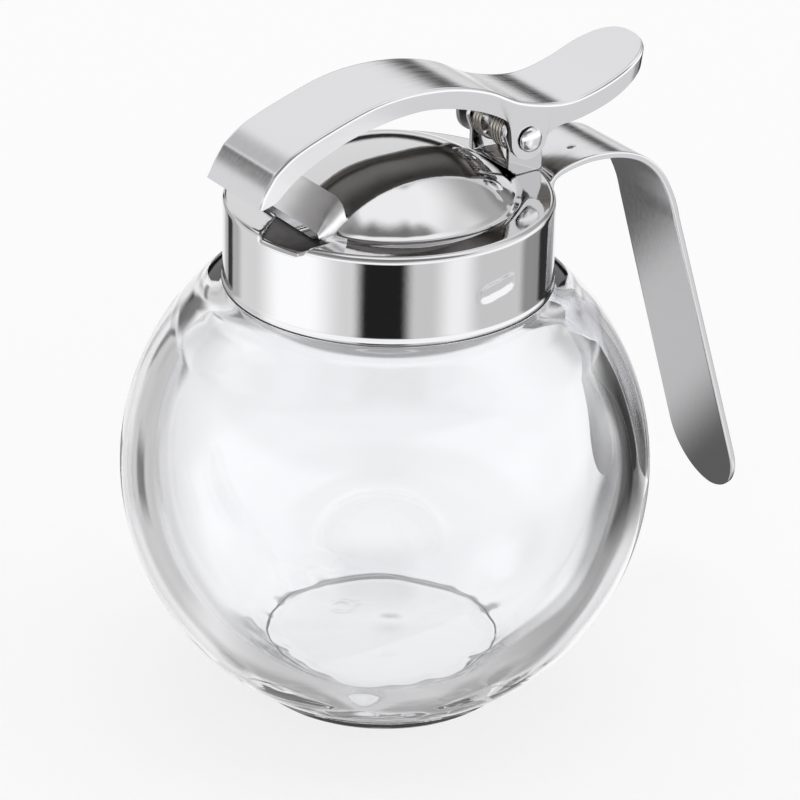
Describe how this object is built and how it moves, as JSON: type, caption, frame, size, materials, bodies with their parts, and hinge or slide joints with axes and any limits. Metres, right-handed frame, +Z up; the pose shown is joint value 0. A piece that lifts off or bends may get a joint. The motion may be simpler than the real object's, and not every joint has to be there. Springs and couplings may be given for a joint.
{
  "type": "honey dispenser",
  "caption": "Round glass honey dispenser with a polished steel screw lid, a sprung thumb lever over the pouring slot and a steel strip handle.",
  "frame": {"origin": "centre of the jar's foot, on the surface that it stands on", "axes": "+Z up through the jar's axis, +X from the jar to the handle, so the pouring mouth faces -X"},
  "size_m": [0.1238, 0.095, 0.1161],
  "materials": {
    "glass_clear": "clear",
    "steel_polished": "polished",
    "steel_satin": "satin",
    "steel_wire": "drawn wire"
  },
  "bodies": {
    "base": {"jar": "glass_clear", "lid": "steel_polished", "spout_hood": "steel_satin", "hinge_bracket": "steel_polished", "hinge_pin": "steel_polished", "return_spring": "steel_wire", "handle": "steel_satin"},
    "lever": {"lever": "steel_satin"}
  },
  "joints": [
    {"name": "lever_hinge", "type": "hinge", "parent": "base", "child": "lever", "pos_m": [0.0237, 0, 0.1023], "axis": [0, 1, 0], "range_deg": [0, 25], "stiffness_Nm_per_rad": 0.12, "springref_deg": -22.92}
  ]
}
